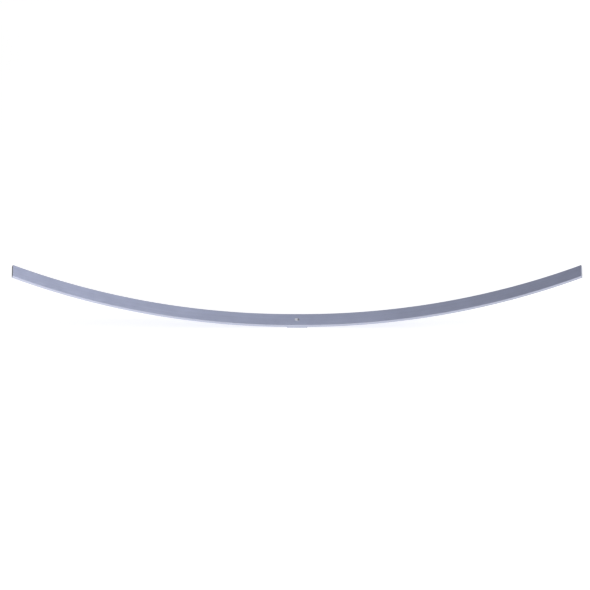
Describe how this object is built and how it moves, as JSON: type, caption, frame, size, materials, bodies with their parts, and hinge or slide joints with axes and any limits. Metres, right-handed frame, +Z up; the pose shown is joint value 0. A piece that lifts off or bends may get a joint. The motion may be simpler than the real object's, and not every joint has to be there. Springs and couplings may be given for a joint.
{
  "type": "leaf spring",
  "caption": "Single-leaf spring: one long flat steel bar bent upwards evenly on both sides of its middle, with a centre bolt hole and a thin square pad beneath it.",
  "frame": {"origin": "middle of the pad's underside, on the centre bolt hole's axis", "axes": "+X along the bar, +Y across it, +Z up through the centre bolt hole, towards the hollow side of the bend"},
  "size_m": [1.3644, 0.05, 0.1467],
  "materials": {
    "leaf": "shot-peened spring steel, satin, cool grey",
    "pad": "rolled steel plate, satin, cool grey"
  },
  "bodies": {
    "seat": {"leaf_centre": "leaf", "centre_pad": "pad"},
    "left_1": {"leaf_left_1": "leaf"},
    "left_2": {"leaf_left_2": "leaf"},
    "left_3": {"leaf_left_3": "leaf"},
    "left_4": {"leaf_left_4": "leaf"},
    "left_5": {"leaf_left_5": "leaf"},
    "right_1": {"leaf_right_1": "leaf"},
    "right_2": {"leaf_right_2": "leaf"},
    "right_3": {"leaf_right_3": "leaf"},
    "right_4": {"leaf_right_4": "leaf"},
    "right_5": {"leaf_right_5": "leaf"}
  },
  "joints": [
    {"name": "bend_left_1", "type": "hinge", "parent": "seat", "child": "left_1", "pos_m": [-0.06749, 0, 0.00598], "axis": [0, -1, 0], "range_deg": [-1.1, 4.4], "stiffness_Nm_per_rad": 1610},
    {"name": "bend_left_2", "type": "hinge", "parent": "left_1", "child": "left_2", "pos_m": [-0.1822, 0, 0.0138], "axis": [0, -1, 0], "range_deg": [-0.9, 3.6], "stiffness_Nm_per_rad": 1610},
    {"name": "bend_left_3", "type": "hinge", "parent": "left_2", "child": "left_3", "pos_m": [-0.29612, 0, 0.0294], "axis": [0, -1, 0], "range_deg": [-0.7, 2.8], "stiffness_Nm_per_rad": 1610},
    {"name": "bend_left_4", "type": "hinge", "parent": "left_3", "child": "left_4", "pos_m": [-0.40871, 0, 0.05271], "axis": [0, -1, 0], "range_deg": [-0.5, 2], "stiffness_Nm_per_rad": 1610},
    {"name": "bend_left_5", "type": "hinge", "parent": "left_4", "child": "left_5", "pos_m": [-0.51945, 0, 0.08361], "axis": [0, -1, 0], "range_deg": [-0.3, 1.2], "stiffness_Nm_per_rad": 1610},
    {"name": "bend_right_1", "type": "hinge", "parent": "seat", "child": "right_1", "pos_m": [0.06749, 0, 0.00598], "axis": [0, 1, 0], "range_deg": [-1.1, 4.4], "stiffness_Nm_per_rad": 1610},
    {"name": "bend_right_2", "type": "hinge", "parent": "right_1", "child": "right_2", "pos_m": [0.1822, 0, 0.0138], "axis": [0, 1, 0], "range_deg": [-0.9, 3.6], "stiffness_Nm_per_rad": 1610},
    {"name": "bend_right_3", "type": "hinge", "parent": "right_2", "child": "right_3", "pos_m": [0.29612, 0, 0.0294], "axis": [0, 1, 0], "range_deg": [-0.7, 2.8], "stiffness_Nm_per_rad": 1610},
    {"name": "bend_right_4", "type": "hinge", "parent": "right_3", "child": "right_4", "pos_m": [0.40871, 0, 0.05271], "axis": [0, 1, 0], "range_deg": [-0.5, 2], "stiffness_Nm_per_rad": 1610},
    {"name": "bend_right_5", "type": "hinge", "parent": "right_4", "child": "right_5", "pos_m": [0.51945, 0, 0.08361], "axis": [0, 1, 0], "range_deg": [-0.3, 1.2], "stiffness_Nm_per_rad": 1610}
  ],
  "couplings": [
    {"joint": "bend_left_2", "follows": "bend_left_1", "ratio": 0.81818},
    {"joint": "bend_left_3", "follows": "bend_left_1", "ratio": 0.63636},
    {"joint": "bend_left_4", "follows": "bend_left_1", "ratio": 0.45454},
    {"joint": "bend_left_5", "follows": "bend_left_1", "ratio": 0.27273},
    {"joint": "bend_right_2", "follows": "bend_right_1", "ratio": 0.81818},
    {"joint": "bend_right_3", "follows": "bend_right_1", "ratio": 0.63636},
    {"joint": "bend_right_4", "follows": "bend_right_1", "ratio": 0.45454},
    {"joint": "bend_right_5", "follows": "bend_right_1", "ratio": 0.27273}
  ]
}
